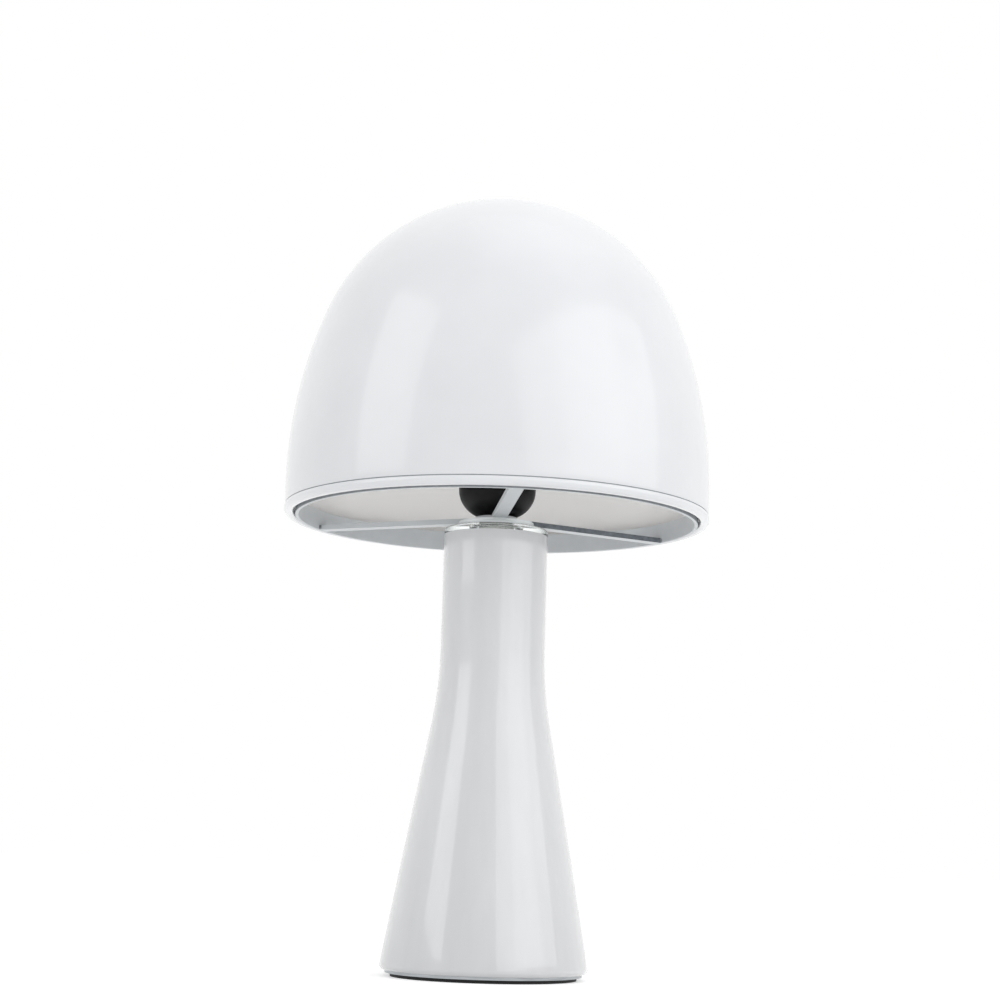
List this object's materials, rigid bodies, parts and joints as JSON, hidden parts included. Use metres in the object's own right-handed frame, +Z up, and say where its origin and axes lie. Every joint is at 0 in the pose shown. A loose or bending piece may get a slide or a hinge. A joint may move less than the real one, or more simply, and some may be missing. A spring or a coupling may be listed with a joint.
{
  "type": "mushroom table lamp",
  "caption": "Table lamp with a glossy white dome shade on a flared opal glass stem, a three-arm shade carrier and a black screw lampholder.",
  "frame": {"origin": "on the table, under the lamp's axis", "axes": "+Z up along the stem; the lamp's front faces -Y and the cable inlet is at the back, on +Y"},
  "size_m": [0.25, 0.25, 0.455],
  "materials": {
    "white_lacquer": "glossy white lacquer on steel",
    "grey_lacquer": "satin pale grey lacquer on steel",
    "opal_glass": "white opal glass, polished",
    "clear_glass": "clear glass, polished",
    "black_rubber": "matt",
    "nickel_steel": "nickel plated, satin",
    "zinc_steel": "zinc plated",
    "cast_iron": "as cast",
    "white_plastic": "moulded, satin",
    "black_plastic": "moulded, satin black",
    "brass": "bare brass",
    "nickel_aluminium": "nickel plated",
    "frosted_glass": "white frosted glass"
  },
  "bodies": {
    "lamp": {"stem_glass": "opal_glass", "clear_top": "clear_glass", "neck_gasket": "black_rubber", "hub_sleeve": "nickel_steel", "threaded_tube": "zinc_steel", "foot_pad": "black_rubber", "bottom_plate": "zinc_steel", "ballast": "cast_iron", "base_washer": "zinc_steel", "spring_washer": "zinc_steel", "tube_nut": "zinc_steel", "cable_inlet": "white_plastic", "holder_cap": "black_plastic", "cap_grub_screw": "zinc_steel", "holder_skirt": "black_plastic", "holder_insert": "white_plastic", "terminal_screws": "brass", "screw_shell": "brass", "centre_contact": "brass"},
    "shade_assembly": {"shade": "white_lacquer", "carrier_hoop": "grey_lacquer", "tack_welds": "grey_lacquer", "carrier_arms": "grey_lacquer", "hub_plate": "grey_lacquer"},
    "bulb": {"bulb_tip": "brass", "bulb_insulator": "black_plastic", "bulb_cap": "nickel_aluminium", "bulb_globe": "frosted_glass"}
  },
  "joints": [
    {"name": "shade_turn", "type": "hinge", "parent": "lamp", "child": "shade_assembly", "pos_m": [0, 0, 0.2614], "axis": [0, 0, 1], "range_deg": [-180, 180]},
    {"name": "bulb_unscrew", "type": "slide", "parent": "lamp", "child": "bulb", "axis": [0, 0, 1], "range_m": [0, 0.028]}
  ]
}
